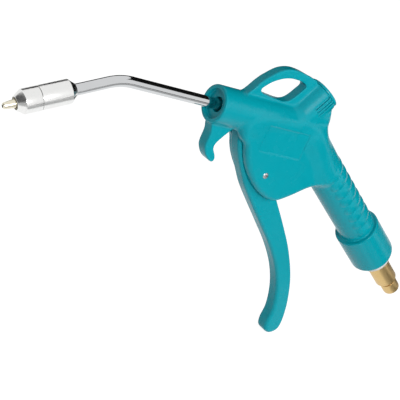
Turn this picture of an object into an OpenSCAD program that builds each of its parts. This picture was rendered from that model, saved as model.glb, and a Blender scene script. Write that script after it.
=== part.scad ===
// Compressed air duster: a pistol-shaped blow gun with a hooked barrel, a bent
// chrome tube with a slotted aluminium nozzle, a squeeze lever on a pivot pin,
// a pull-to-open valve under a screwed rear cap and a plug for an air line.
// Lengths are in millimetres and angles in degrees. +X runs from the barrel's
// front face to the rear and +Z is up. The origin is the centre of that face.

/* [Layout] */
// angle of the handle below the barrel's axis
handle_angle = 33; // [25:1:45]
// distance along the barrel's axis to the point where the handle's axis meets it
handle_x = 65; // [55:0.5:75]
// distance of the valve's axis from that point, along the handle
valve_t = -3.7; // [-8:0.1:2]

/* [Barrel] */
// outer diameter of the barrel
barrel_d = 22; // [18:0.5:28]
// rounding of the barrel's front rim
barrel_rim = 1.2; // [0.4:0.1:2]
// length of the barrel, down to its end inside the valve housing
barrel_len = 60; // [50:1:70]
// diameter of the dished recess in the front face
dish_d = 17; // [12:0.5:19]
// depth of that recess
dish_deep = 1.5; // [0.5:0.1:3]
// diameter of the hole for the tube
tube_hole_d = 8.5; // [7.5:0.1:11]
// depth from the front face to the brass insert
insert_deep = 7; // [4:0.5:10]
// length of the barrel's brass insert
insert_len = 16; // [12:1:20]
// diameter of that insert
insert_d = 13; // [11:0.5:15]

/* [Nozzle tube] */
// outside diameter of the chrome tube
tube_d = 6.35; // [5:0.05:8]
// wall of the tube
tube_wall = 0.9; // [0.5:0.1:1.4]
// length of tube inside the barrel
tube_in = 19; // [12:1:22]
// distance from the front face to the corner of the bend
bend_x = 64; // [50:1:120]
// angle of the bend
bend_angle = 25; // [10:1:40]
// radius of the bend on the tube's centre line
bend_r = 20; // [14:1:40]
// distance from the corner of the bend to the nozzle
bend_to_nozzle = 26.6; // [15:0.1:60]

/* [Nozzle] */
// diameter of the aluminium nozzle
nozzle_d = 13.2; // [10:0.1:16]
// diameter of the nozzle at its rear end
nozzle_rear_d = 7.6; // [7:0.1:9]
// length of the rear cone
nozzle_rear_cone = 3.5; // [2:0.1:6]
// length of the rear piece of the nozzle
nozzle_rear_len = 20; // [15:0.5:26]
// straight length of the front cap
cap_len = 9.1; // [7:0.1:14]
// length of the front cap's cone
cap_cone = 3.9; // [2:0.1:6]
// diameter of the opening in the front cap
mouth_d = 6.8; // [5:0.1:9]
// width of the flat lip around that opening
lip_w = 0.4; // [0.2:0.1:0.8]
// depth of tube inside the nozzle
tube_grip = 13; // [8:0.5:16]
// diameter of the spigot inside the front cap
spigot_d = 9.8; // [8:0.1:11]
// length of that spigot
spigot_len = 6.5; // [4:0.5:8]
// diameter of the brass tip where it leaves the cap
tip_d = 4.8; // [4:0.1:6]
// diameter of the brass tip at its end
tip_end_d = 3.4; // [2.5:0.1:5]
// length of the tip in front of the cap
tip_out = 6.6; // [4:0.1:12]
// diameter of the hole along the tip
tip_hole_d = 1.8; // [1:0.1:3]
// thickness of a fin on the tip
fin_w = 0.8; // [0.4:0.1:1.2]
// number of fins
fin_count = 6; // [4:1:9]

/* [Housing] */
// diameter of the valve housing at its waist
housing_d = 23.2; // [22:0.2:28]
// diameter of the valve housing at its top rim
housing_rim_d = 24.4; // [23:0.2:30]
// height of that rim above the handle's axis
housing_top = 22.7; // [18:0.1:28]
// wall of the housing around the rear cap's plug
housing_wall = 2.6; // [2:0.1:3.4]
// diameter of the rear cap
cap_d = 22.8; // [20:0.1:26]
// thickness of the rear cap's head
cap_head = 2.2; // [1.5:0.1:4]
// width of a groove in the housing's side
groove_w = 0.9; // [0.5:0.1:1.5]
// length of the grooves
groove_len = 10; // [6:0.5:14]
// angle from one groove to the next
groove_step = 14; // [8:1:25]

/* [Body sides] */
// thickness of the body's flat sides together
body_w = 21.6; // [19:0.1:26]
// rounding of the edges of those sides
body_edge = 3.2; // [1:0.1:4]
// length of the body's sides
side_len = 75; // [65:1:85]
// drop of the body's sides below the barrel's axis
side_drop = 46; // [40:1:55]
// distance from the front face to the start of the sides
side_x = 20; // [15:1:26]
// length of the bare panel on each side
panel_len = 32.5; // [20:0.5:38]
// height of the bare panel
panel_high = 16.1; // [8:0.1:20]
// distance from the front face to the panel
panel_x = 36; // [30:0.5:42]
// distance of the panel below the barrel's axis
panel_below = 1.8; // [0.5:0.1:4]
// depth of the panel
panel_deep = 0.4; // [0.2:0.1:0.8]

/* [Loop and hook] */
// length of the hanging loop
loop_len = 45; // [38:1:52]
// rise of the loop above the barrel
loop_rise = 20; // [16:0.5:26]
// width of the loop
loop_w = 8; // [5:0.5:12]
// length of the hook under the barrel
hook_len = 12; // [9:0.5:15]
// drop of the hook below the barrel
hook_drop = 22; // [16:0.5:28]
// width of the hook
hook_w = 8; // [4:0.2:9]
// distance from the front face to the hook
hook_x = 2.2; // [1.5:0.1:5]

/* [Handle] */
// diameter of the grip
grip_d = 23.2; // [20:0.2:28]
// distance along the handle to the collar
collar_t = 103; // [90:1:120]
// diameter of the collar
collar_d = 29; // [25:0.2:34]
// length of the collar
collar_len = 31.8; // [24:0.2:40]
// rounding of the collar's lower end
collar_round = 3; // [1:0.1:5]
// number of grip bands
band_count = 8; // [4:1:10]
// distance from one band to the next
band_pitch = 8.3; // [6:0.1:10]
// width of a band
band_w = 5.6; // [3:0.1:6]
// height of a band above the grip
band_high = 0.5; // [0.3:0.1:1]
// distance along the handle to the middle of the first band
band_t = 36; // [30:0.5:45]

/* [Air inlet] */
// diameter of the brass insert in the collar
inlet_d = 21; // [18:0.5:23]
// length of that insert
inlet_len = 26; // [18:1:28]
// diameter of the plug's threaded end, one quarter inch pipe
shank_d = 12.8; // [11:0.1:14]
// length of that end
shank_len = 16; // [10:1:20]
// diameter of the plug
plug_d = 14.6; // [13.5:0.1:18]
// length of the plug's cylinder
plug_len = 26.8; // [18:0.2:32]
// diameter of the plug's nose
nose_d = 11.4; // [8:0.1:12]
// length of the nose
nose_len = 11.5; // [7:0.5:14]
// bore through the plug
plug_bore_d = 7; // [5:0.1:8]
// diameter of the white sealing washer
washer_d = 19.6; // [17:0.2:22]
// thickness of the washer
washer_thick = 1.6; // [1:0.1:2.5]

/* [Valve] */
// diameter of the valve bore
valve_d = 14; // [12:0.5:16]
// depth of the valve bore below the handle's axis
valve_deep = 17; // [14:0.5:19]
// diameter of the stem
stem_d = 3; // [2.5:0.1:3.5]
// wall of the sleeve's chambers
sleeve_wall = 1.8; // [1.4:0.1:2.2]
// level of the seat below the handle's axis
seat_level = 4.9; // [4:0.1:6]
// diameter of the hole in the seat
seat_hole_d = 5.4; // [4.5:0.1:6]
// diameter of the poppet
poppet_d = 8.8; // [7.5:0.1:9.2]
// thickness of the poppet's rubber ring
poppet_seal_thick = 1.2; // [0.8:0.1:1.6]
// height of the sleeve above the handle's axis
sleeve_top = 6; // [5:0.1:8]
// length of the spring
spring_len = 9; // [7:0.5:11]
// outside diameter of the spring
spring_d = 10.2; // [8:0.1:11]
// thickness of the spring's wire
spring_wire = 0.9; // [0.6:0.1:1.2]
// diameter of the air channels
channel_d = 4.4; // [3.5:0.1:5]

/* [Lever] */
// distance of the pivot from the handle's start, along the handle
pivot_t = 4.2; // [2:0.1:8]
// distance of the pivot below the handle's axis
pivot_below = 35.1; // [32:0.1:38]
// diameter of the pivot pin
pin_d = 3.64; // [3:0.02:5]
// width of the lever
lever_w = 9.9; // [8:0.1:13]
// rounding of the lever's edges
lever_edge = 1.3; // [0.6:0.1:1.5]
// reach of the lever behind the pivot
lever_reach = 70; // [60:1:80]
// drop of the lever below the pivot
lever_drop = 105; // [90:1:120]
// distance of the slot's roof below the handle's axis
slot_roof = 28.4; // [26:0.1:30]
// radius of the two noses that pull the stem
nose_r = 1.2; // [0.9:0.1:1.6]

/* [Hidden] */

$fn = 96;
right_angle = 90;
full_turn = 360;
// how far a cut runs past a face
over = 0.5;
// clearance of a sliding fit, on the radius
slide_gap = 0.05;
// clearance of a loose fit, on each side
loose_gap = 0.2;
// clearance of a fixed fit, on the radius
fixed_gap = 0.02;
// room around pieces that do not touch
room = 0.3;
arc_steps = 5;
round_steps = 3;
curve_steps = 4;

barrel_r = barrel_d / 2;
tube_r = tube_d / 2;
tube_bore_r = tube_r - tube_wall;
tube_hole_r = tube_hole_d / 2;
bend_run = bend_r * tan(bend_angle / 2);
seam_high = 0.01;
seam_wide = 0.3;
seal_r = tube_hole_r - tube_r;
seal_x = insert_deep + seal_r;

nozzle_r = nozzle_d / 2;
spigot_r = spigot_d / 2;
mouth_r = mouth_d / 2;
cap_start = nozzle_rear_len + room / 2;
cap_shoulder = nozzle_rear_len + cap_len;
nozzle_len = cap_shoulder + cap_cone;
spigot_end = nozzle_rear_len + spigot_len;
tip_shank_r = 0.45 * spigot_r;
tip_shank_len = spigot_len * 0.8;
feed_hole_r = tip_shank_r * 0.7;
cap_room_r = spigot_r - loose_gap;
tip_len = nozzle_len + tip_out;
tip_round = tip_end_d / 4;
fin_start = spigot_end + room;
cross_hole_d = 0.55 * tip_hole_d;

handle_cos = cos(handle_angle);
handle_sin = sin(handle_angle);
housing_r = housing_d / 2;
housing_low_r = 0.86 * housing_r;
housing_low = -0.53 * housing_top;
housing_flare = 0.35 * housing_top;
cap_plug_r = housing_r - housing_wall;
cap_plug_len = 0.26 * housing_top;
cap_hollow_r = spring_d / 2 + room * 3;
cap_hollow = 0.14 * housing_top;
cap_seal_high = 0.06 * housing_top;
cap_bevel = cap_head / 3;
body_half = body_w / 2;
loop_x = side_x - 0.02 * side_len;
loop_edge = loop_w / 6;
hook_edge = hook_w / 7;
slot_half = lever_w / 2 + loose_gap;
groove_turn = -0.92 * right_angle;
groove_cut_d = 1.6 * groove_w;

grip_r = grip_d / 2;
grip_start = 0.4 * grip_r;
grip_start_r = 0.93 * grip_r;
grip_full = 2.4 * grip_r;
band_r = grip_r + band_high;
band_bevel = band_high / 2;
band_far = band_w / 2;
web_half = 0.82 * body_half;
web_edge = 0.45 * web_half;
web_size = [3.1 * grip_r, 1.06 * housing_top];
collar_r = collar_d / 2;
collar_end = collar_t + collar_len;
inlet_r = inlet_d / 2;
shank_r = shank_d / 2;
plug_r = plug_d / 2;
washer_t = collar_end + fixed_gap;
plug_t = washer_t + washer_thick + fixed_gap;
plug_chamfer = 0.08 * plug_d;
neck_len = 0.12 * nose_len;
neck_r = 0.9 * nose_d / 2;
nose_round = 0.14 * nose_d;

valve_r = valve_d / 2;
sleeve_r = valve_r - slide_gap;
chamber_r = sleeve_r - sleeve_wall;
stem_r = stem_d / 2;
guide_r = stem_r + slide_gap;
sleeve_low = -valve_deep + fixed_gap;
gland_seal_r = stem_r * 2.1;
gland_seal_high = stem_d * 0.6;
gland_r = stem_d * 1.35;
floor_top = sleeve_low + gland_seal_high + 0.4 * stem_d;
seat_thick = 0.28 * seat_level;
seat_lip = 0.1 * seat_level;
seat_hole_r = seat_hole_d / 2;
seat_face = -seat_level - seat_lip;
lip_r = seat_hole_r + seat_lip * 1.6;
poppet_r = poppet_d / 2;
poppet_top = seat_face - slide_gap;
poppet_mid = poppet_top - poppet_seal_thick;
poppet_low = poppet_mid - poppet_seal_thick * 1.3;
outlet_roof = sleeve_top / 2;
channel_r = channel_d / 2;
supply_level = -0.53 * valve_deep;
ring_half = 0.12 * valve_r;
ring_floor_r = sleeve_r - 0.17 * valve_r;
upper_ring = (outlet_roof + sleeve_top) / 2;
lower_ring = -seat_level + seat_thick / 4;
retainer_low = sleeve_top + spring_len + fixed_gap;
retainer_thick = 0.14 * valve_d;
retainer_r = spring_d / 2 + slide_gap;
stem_top = retainer_low + retainer_thick + spring_wire;
bore_top = housing_top - cap_plug_len;
cap_low = bore_top + cap_seal_high;

pivot_x = handle_x + pivot_t * handle_cos - pivot_below * handle_sin;
pivot_z = -pivot_t * handle_sin - pivot_below * handle_cos;
pin_r = pin_d / 2;
pivot_arm = pivot_t - valve_t;
head_r = stem_d;
head_top = -pivot_below - nose_r - slide_gap;
head_low = head_top - stem_d * 0.55;
pocket_half = head_r + room * 1.6;
pocket_near = pivot_arm - head_r - room * 2.6;
pocket_far = pivot_arm + head_r + room * 6;
pocket_floor = head_low - room * 5.5;

// The outlines below are shares of the named lengths, read off the object's shape.
side_shares = [
    [0.007, -0.12], [0.024, -0.274], [0.093, -0.378], [0.139, -0.513], [0.201, -0.65],
    [0.295, -0.802], [0.413, -0.93], [0.533, -1], [0.62, -0.995], [0.74, -0.885],
    [0.88, -0.735], [0.997, -0.665], [1.08, -0.6], [1.1, -0.467], [1.01, -0.304],
    [0.867, -0.109], [0.72, 0.076], [0.533, 0.13], [0.267, 0.109], [0.08, 0.033]
];
web_shares = [
    [-0.167, -0.292], [0.222, -0.417], [0.778, -0.417], [1.22, -0.375], [1.42, -0.083],
    [1.33, 0.25], [1.12, 0.4], [0.931, 0.442], [0.72, 0.48], [0.535, 0.56],
    [0.4, 0.7], [0.305, 0.83], [0.16, 0.88], [0, 0.75], [-0.167, 0.375]
];
lever_shares = [
    [-0.381, 0.176], [-0.351, 0.125], [-0.292, 0.068], [-0.224, 0.012], [-0.143, -0.05],
    [-0.055, -0.119], [0.095, -0.218], [0.279, -0.327], [0.476, -0.446], [0.655, -0.574],
    [0.78, -0.708], [0.848, -0.841], [0.848, -0.936], [0.877, -0.984], [0.951, -0.998],
    [1.014, -0.974], [1.032, -0.908], [0.982, -0.77], [0.874, -0.603], [0.7, -0.432],
    [0.505, -0.283], [0.34, -0.165], [0.213, -0.072], [0.109, 0.001], [0.023, 0.054],
    [-0.07, 0.09], [-0.163, 0.093], [-0.229, 0.09], [-0.283, 0.123], [-0.32, 0.17],
    [-0.357, 0.19]
];
loop_shares = [
    [0.078, -0.2], [0.478, -0.25], [0.878, -0.15], [1.08, 0.35], [0.996, 0.83],
    [0.867, 0.93], [0.669, 1], [0.5, 0.985], [0.351, 0.855], [0.211, 0.6],
    [0.122, 0.4], [0.047, 0.18], [-0.02, -0.05]
];
opening_shares = [
    [0.211, 0.13], [0.498, 0.07], [0.615, 0.1], [0.696, 0.22], [0.772, 0.445],
    [0.825, 0.64], [0.76, 0.74], [0.649, 0.765], [0.529, 0.755], [0.409, 0.69],
    [0.278, 0.545], [0.187, 0.365], [0.151, 0.225]
];
hook_shares = [
    [0.05, 0.227], [0.017, -0.027], [0.125, -0.227], [0.15, -0.591], [0.342, -0.791],
    [0.617, -0.927], [0.892, -0.977], [1, -0.891], [0.9, -0.764], [0.69, -0.615],
    [0.7, -0.46], [0.96, -0.235], [1.25, 0], [1.2, 0.227], [0.65, 0.318]
];

teal = [0.02, 0.62, 0.7];
chrome = [0.86, 0.87, 0.89];
aluminium = [0.75, 0.76, 0.78];
brass = [0.8, 0.64, 0.36];
rubber = [0.08, 0.08, 0.08];
white = [0.93, 0.93, 0.9];
steel = [0.7, 0.71, 0.72];

// a point on the smooth curve through four points
function blend(a, b, c, d, u) =
    (2 * b + (c - a) * u + (2 * a - 5 * b + 4 * c - d) * u * u + (3 * b - a - 3 * c + d) * u * u * u) / 2;

// a closed smooth curve through a ring of points
function smooth(ring) = [
    for (i = [0 : len(ring) - 1])
        for (k = [0 : curve_steps - 1])
            blend(ring[(i + len(ring) - 1) % len(ring)], ring[i], ring[(i + 1) % len(ring)],
                ring[(i + 2) % len(ring)], k / curve_steps)
];

// an outline from shares of two lengths, starting at a given corner
function outline(shares, start, size) = smooth([
    for (s = shares) [start[0] + s[0] * size[0], start[1] + s[1] * size[1]]
]);

function inward(a, b) = [a[1] - b[1], b[0] - a[0]] / norm(b - a);

// the same ring of points drawn in by a distance
function drawn_in(ring, distance) = [
    for (i = [0 : len(ring) - 1])
        let (
            before = inward(ring[(i + len(ring) - 1) % len(ring)], ring[i]),
            after = inward(ring[i], ring[(i + 1) % len(ring)])
        )
        ring[i] + distance * (before + after) / (1 + before * after)
];

// points of an arc about a centre
function arc(centre, radius, from, to) = [
    for (i = [0 : arc_steps])
        centre + radius * [cos(from + (to - from) * i / arc_steps), sin(from + (to - from) * i / arc_steps)]
];

// whether three points turn left
function turns_left(a, b, c) = (b[0] - a[0]) * (c[1] - a[1]) > (b[1] - a[1]) * (c[0] - a[0]);

// whether a triangle that turns left holds a point, its sides included
function holds(a, b, c, p) = !turns_left(b, a, p) && !turns_left(c, b, p) && !turns_left(a, c, p);

// whether one corner of an outline can be cut off as a triangle that holds no other corner
function is_ear(ring, left, i) =
    let (
        n = len(left),
        a = ring[left[(i + n - 1) % n]],
        b = ring[left[i]],
        c = ring[left[(i + 1) % n]]
    )
    turns_left(a, b, c) && len([
        for (k = left)
            let (p = ring[k])
            if (p != a && p != b && p != c && holds(a, b, c, p)) k
    ]) == 0;

function next_ear(ring, left, i) = is_ear(ring, left, i) ? i : next_ear(ring, left, (i + 1) % len(left));

// an outline split into triangles, by cutting off every second corner in turn
function triangles(ring, left, start = 0, done = []) =
    len(left) == 3 ? concat(done, [left]) :
    let (n = len(left), i = next_ear(ring, left, start % n))
    triangles(ring, [for (k = [0 : n - 1]) if (k != i) left[k]], i + 1,
        concat(done, [[left[(i + n - 1) % n], left[i], left[(i + 1) % n]]]));

// a plate with rounded edges: the outline in layers, drawn in towards both faces
module soft_plate(ring, half, edge) {
    count = len(ring);
    lower = [
        for (i = [0 : round_steps])
            let (turn = right_angle * i / round_steps)
            [-half + edge * (1 - cos(turn)), edge * (1 - sin(turn))]
    ];
    levels = concat(lower, [for (i = [round_steps : -1 : 0]) [-lower[i][0], lower[i][1]]]);
    top = len(levels) - 1;
    cap = triangles(drawn_in(ring, edge), [for (i = [0 : count - 1]) i]);
    faces = concat(
        cap,
        [for (t = cap) [for (i = [2 : -1 : 0]) top * count + t[i]]],
        [for (k = [0 : top - 1]) for (i = [0 : count - 1])
            [k * count + i, (k + 1) * count + i, (k + 1) * count + (i + 1) % count]],
        [for (k = [0 : top - 1]) for (i = [0 : count - 1])
            [k * count + i, (k + 1) * count + (i + 1) % count, k * count + (i + 1) % count]]
    );
    rotate([right_angle, 0, 0])
        polyhedron(
            points = [for (level = levels) for (p = drawn_in(ring, level[1])) [p[0], p[1], level[0]]],
            faces = faces,
            convexity = 6
        );
}

// a straight plate of an outline in the X and Z plane
module straight_plate(ring, half) {
    rotate([right_angle, 0, 0])
        linear_extrude(height = 2 * half, center = true)
            polygon(ring);
}

// +X along the handle, +Z square to it towards the rear
module in_handle() {
    translate([handle_x, 0, 0])
        rotate([0, handle_angle, 0])
            children();
}

// +Z along the handle
module along_handle() {
    in_handle()
        rotate([0, right_angle, 0])
            children();
}

// +Z along the valve's axis towards the rear cap
module along_valve() {
    in_handle()
        translate([valve_t, 0, 0])
            children();
}

// +Z along the barrel towards the rear
module along_barrel() {
    rotate([0, right_angle, 0])
        children();
}

// +Z along the nozzle towards its tip
module along_nozzle() {
    translate([-bend_x, 0, 0])
        rotate([0, -right_angle - bend_angle, 0])
            translate([0, 0, bend_to_nozzle])
                children();
}

module turned(profile) {
    rotate_extrude()
        polygon(profile);
}

module ring(inner, outer, from, to) {
    turned([[inner, from], [outer, from], [outer, to], [inner, to]]);
}

module barrel_solid() {
    along_barrel()
        turned(concat(
            [[0, 0]],
            arc([barrel_r - barrel_rim, barrel_rim], barrel_rim, -right_angle, 0),
            [[barrel_r, barrel_len], [0, barrel_len]]
        ));
}

module housing_solid() {
    rim_r = housing_rim_d / 2;
    rim_edge = barrel_rim / 2;
    along_valve()
        turned(concat(
            [[0, housing_low], [housing_low_r, housing_low], [housing_r, 0], [housing_r, housing_flare]],
            arc([rim_r - rim_edge, housing_top - rim_edge], rim_edge, 0, right_angle),
            [[0, housing_top]]
        ));
}

module grip_solid() {
    step_edge = collar_round / 3;
    along_handle()
        turned(concat(
            [[0, grip_start], [grip_start_r, grip_start], [grip_r, grip_full], [grip_r, collar_t]],
            arc([collar_r - step_edge, collar_t + step_edge], step_edge, -right_angle, 0),
            arc([collar_r - collar_round, collar_end - collar_round], collar_round, 0, right_angle),
            [[0, collar_end]]
        ));
}

// raised bands on the rear half of the grip, each with round ends
module grip_bands() {
    intersection() {
        along_handle()
            for (i = [0 : band_count - 1])
                translate([0, 0, band_t + i * band_pitch])
                    turned([
                        [grip_r - band_high, -band_far], [grip_r, -band_far],
                        [band_r, band_bevel - band_far], [band_r, band_far - band_bevel],
                        [grip_r, band_far], [grip_r - band_high, band_far]
                    ]);
        in_handle() {
            translate([0, -grip_d, 0])
                cube([collar_t, 2 * grip_d, grip_d]);
            for (i = [0 : band_count - 1])
                translate([band_t + i * band_pitch, 0, 0])
                    rotate([right_angle, 0, 0])
                        cylinder(d = band_w, h = 2 * grip_d, center = true);
        }
    }
}

module side_plates() {
    soft_plate(outline(side_shares, [side_x, 0], [side_len, side_drop]), body_half, body_edge);
}

// the soft sweep from the rear of the valve housing into the grip
module rear_web() {
    in_handle()
        soft_plate(outline(web_shares, [0, 0], web_size), web_half, web_edge);
}

module loop_and_hook() {
    difference() {
        soft_plate(outline(loop_shares, [loop_x, barrel_r], [loop_len, loop_rise]), loop_w / 2, loop_edge);
        straight_plate(outline(opening_shares, [loop_x, barrel_r], [loop_len, loop_rise]), loop_w);
    }
    soft_plate(outline(hook_shares, [hook_x, -barrel_r], [hook_len, hook_drop]), hook_w / 2, hook_edge);
}

module barrel_cuts() {
    along_barrel() {
        translate([0, 0, -over])
            cylinder(d = dish_d, h = dish_deep + over);
        cylinder(r = tube_hole_r, h = insert_deep + over);
        translate([0, 0, insert_deep])
            cylinder(d = insert_d + 2 * fixed_gap, h = insert_len + fixed_gap);
    }
    outlet_channel();
}

// from the barrel's insert up to the valve's outlet
module outlet_channel() {
    run = handle_x + (valve_t - valve_r) * handle_cos - insert_deep - insert_len;
    rise = (valve_r - valve_t) * handle_sin;
    translate([insert_deep + insert_len - over, 0, 0])
        rotate([0, right_angle - atan2(rise, run), 0])
            cylinder(r = channel_r, h = norm([run, rise]) + valve_r / 2);
}

// from the inlet down to the valve's supply port
module supply_channel() {
    run = collar_end - inlet_len - valve_t;
    in_handle()
        translate([valve_t, 0, supply_level])
            rotate([0, right_angle + atan2(supply_level, run), 0])
                cylinder(r = channel_r, h = run + over);
}

module valve_cuts() {
    along_valve() {
        translate([0, 0, -valve_deep])
            cylinder(r = valve_r, h = valve_deep + bore_top + over);
        translate([0, 0, bore_top])
            cylinder(r = cap_plug_r + fixed_gap, h = cap_plug_len + over);
        // room for the rear cap's head beside a longer loop
        translate([0, 0, housing_top + fixed_gap / 2])
            cylinder(r = cap_d / 2 + room, h = 2 * cap_head);
        translate([0, 0, -slot_roof - over])
            cylinder(r = gland_r + fixed_gap, h = slot_roof - valve_deep + 2 * over);
    }
}

module lever_slot() {
    roof_front = barrel_r + loose_gap;
    meet_t = (roof_front - slot_roof * handle_cos) / handle_sin;
    rear_t = 1.2 * side_len;
    function spot(t, w) =
        [handle_x + t * handle_cos + w * handle_sin, -t * handle_sin + w * handle_cos];
    straight_plate([
        [loop_x, -roof_front],
        [loop_x, -2 * side_drop],
        spot(rear_t, -2 * side_drop),
        spot(rear_t, -slot_roof),
        spot(meet_t, -slot_roof)
    ], slot_half);
}

module side_cuts() {
    for (side = [-1, 1])
        translate([panel_x, side * body_half - panel_deep, -panel_below - panel_high])
            cube([panel_len, 2 * panel_deep, panel_high]);
    along_valve()
        for (side = [0, 1])
            mirror([0, side, 0])
                for (i = [-1 : 1])
                    rotate([0, 0, groove_turn + i * groove_step])
                        translate([housing_r + groove_w / 2, 0, housing_top - groove_len])
                            cylinder(d = groove_cut_d, h = groove_len + over);
}

module pin_hole(radius) {
    translate([pivot_x, 0, pivot_z])
        rotate([right_angle, 0, 0])
            cylinder(r = radius, h = body_w + 2 * over, center = true);
}

module body_shell() {
    color(teal)
        difference() {
            union() {
                barrel_solid();
                housing_solid();
                grip_solid();
                grip_bands();
                side_plates();
                rear_web();
                loop_and_hook();
            }
            barrel_cuts();
            valve_cuts();
            supply_channel();
            lever_slot();
            side_cuts();
            pin_hole(pin_r + fixed_gap);
            along_handle()
                translate([0, 0, collar_end - inlet_len - fixed_gap])
                    cylinder(r = inlet_r + fixed_gap, h = inlet_len + over);
        }
}

module barrel_insert() {
    color(brass)
        along_barrel()
            difference() {
                translate([0, 0, insert_deep + fixed_gap])
                    cylinder(d = insert_d, h = insert_len - fixed_gap);
                translate([0, 0, insert_deep - over])
                    cylinder(r = tube_hole_r, h = over + 2 * seal_r);
                translate([0, 0, insert_deep])
                    cylinder(r = tube_r + fixed_gap, h = tube_in - insert_deep + fixed_gap);
                translate([0, 0, insert_deep])
                    cylinder(r = channel_r, h = insert_len + over);
            }
}

module tube_path(radius, past) {
    translate([-bend_x + bend_run, 0, 0])
        along_barrel() {
            cylinder(r = radius, h = bend_x - bend_run + tube_in + past);
            seam_cover(radius);
        }
    translate([-bend_x + bend_run, 0, -bend_r])
        rotate([right_angle, 0, 0])
            rotate([0, 0, right_angle])
                rotate_extrude(angle = bend_angle)
                    translate([bend_r, 0])
                        circle(r = radius);
    along_nozzle()
        translate([0, 0, bend_run - bend_to_nozzle]) {
            cylinder(r = radius, h = bend_to_nozzle - bend_run + tube_grip + past);
            seam_cover(radius);
        }
}

// a very thin band over the seam between a straight run and the bend
module seam_cover(radius) {
    cylinder(r = radius + seam_high, h = seam_wide, center = true);
}

module nozzle_tube() {
    color(chrome)
        difference() {
            tube_path(tube_r, 0);
            tube_path(tube_bore_r, over);
        }
}

module tube_seal() {
    color(rubber)
        along_barrel()
            translate([0, 0, seal_x])
                rotate_extrude()
                    translate([tube_r + seal_r / 2, 0])
                        circle(d = seal_r);
}

module nozzle_body() {
    color(aluminium)
        along_nozzle()
            turned([
                [tube_r + fixed_gap, 0], [nozzle_rear_d / 2, 0], [nozzle_r, nozzle_rear_cone],
                [nozzle_r, nozzle_rear_len], [spigot_r, nozzle_rear_len], [spigot_r, spigot_end],
                [tip_shank_r + fixed_gap, spigot_end],
                [tip_shank_r + fixed_gap, spigot_end - tip_shank_len - fixed_gap],
                [feed_hole_r, spigot_end - tip_shank_len - fixed_gap],
                [feed_hole_r, tube_grip + fixed_gap], [tube_r + fixed_gap, tube_grip + fixed_gap]
            ]);
}

module nozzle_cap() {
    color(aluminium)
        along_nozzle()
            turned([
                [spigot_r + slide_gap, cap_start], [nozzle_r, cap_start], [nozzle_r, cap_shoulder],
                [mouth_r + lip_w, nozzle_len], [mouth_r, nozzle_len], [mouth_r, nozzle_len - cap_cone / 3],
                [cap_room_r, cap_shoulder - cap_cone / 3], [cap_room_r, spigot_end + room],
                [spigot_r + slide_gap, spigot_end + room]
            ]);
}

module nozzle_tip() {
    base_r = tip_d / 2;
    end_r = tip_end_d / 2;
    color(brass)
        along_nozzle()
            difference() {
                union() {
                    turned(concat(
                        [[0, spigot_end - tip_shank_len], [tip_shank_r, spigot_end - tip_shank_len],
                        [tip_shank_r, fin_start], [base_r, fin_start], [base_r, nozzle_len]],
                        arc([end_r - tip_round, tip_len - tip_round], tip_round, 0, right_angle),
                        [[0, tip_len]]
                    ));
                    intersection() {
                        translate([0, 0, fin_start])
                            cylinder(r = mouth_r - slide_gap, h = nozzle_len - fin_start + lip_w);
                        for (i = [0 : fin_count - 1])
                            rotate([0, 0, i * full_turn / fin_count])
                                translate([0, -fin_w / 2, fin_start])
                                    cube([nozzle_r, fin_w, nozzle_len - fin_start + lip_w]);
                    }
                }
                translate([0, 0, spigot_end - tip_shank_len - over])
                    cylinder(d = tip_hole_d, h = tip_len);
                for (i = [0 : 1])
                    rotate([0, 0, (i + 1 / 2) * full_turn / fin_count])
                        translate([0, 0, fin_start + tip_hole_d])
                            rotate([0, right_angle, 0])
                                cylinder(d = cross_hole_d, h = tip_d + 2 * over, center = true);
            }
}

module rear_cap() {
    color(teal)
        along_valve()
            turned([
                [0, cap_low + cap_hollow], [cap_hollow_r, cap_low + cap_hollow],
                [cap_hollow_r, cap_low], [cap_plug_r, cap_low],
                [cap_plug_r, housing_top + fixed_gap], [cap_d / 2, housing_top + fixed_gap],
                [cap_d / 2, housing_top + cap_head - cap_bevel],
                [cap_d / 2 - cap_bevel, housing_top + cap_head], [0, housing_top + cap_head + cap_bevel / 2]
            ]);
}

module rear_cap_seal() {
    color(rubber)
        along_valve()
            ring(valve_r + room, cap_plug_r - room, bore_top, cap_low);
}

module valve_sleeve() {
    color(brass)
        difference() {
            along_valve()
                turned([
                    [gland_seal_r, sleeve_low], [sleeve_r, sleeve_low],
                    [sleeve_r, lower_ring - ring_half], [ring_floor_r, lower_ring - ring_half],
                    [ring_floor_r, lower_ring + ring_half], [sleeve_r, lower_ring + ring_half],
                    [sleeve_r, upper_ring - ring_half], [ring_floor_r, upper_ring - ring_half],
                    [ring_floor_r, upper_ring + ring_half], [sleeve_r, upper_ring + ring_half],
                    [sleeve_r, sleeve_top], [guide_r, sleeve_top], [guide_r, outlet_roof],
                    [chamber_r, outlet_roof], [chamber_r, -seat_level + seat_thick],
                    [seat_hole_r, -seat_level + seat_thick], [seat_hole_r, seat_face], [lip_r, seat_face],
                    [lip_r + seat_lip, -seat_level], [chamber_r, -seat_level], [chamber_r, floor_top],
                    [guide_r, floor_top], [guide_r, sleeve_low + gland_seal_high],
                    [gland_seal_r, sleeve_low + gland_seal_high]
                ]);
            along_valve() {
                translate([0, 0, supply_level])
                    rotate([0, right_angle, 0])
                        cylinder(r = channel_r, h = valve_d);
                rotate([0, -right_angle, 0])
                    cylinder(r = channel_r, h = valve_d);
            }
        }
}

module sleeve_seals() {
    color(rubber)
        along_valve()
            for (level = [lower_ring, upper_ring])
                ring(ring_floor_r, valve_r, level - ring_half, level + ring_half);
}

module gland_bush() {
    color(brass)
        along_valve()
            ring(guide_r, gland_r, -slot_roof, -valve_deep);
}

module stem_seal() {
    color(rubber)
        along_valve()
            ring(stem_r, gland_seal_r, -valve_deep, sleeve_low + gland_seal_high);
}

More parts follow.
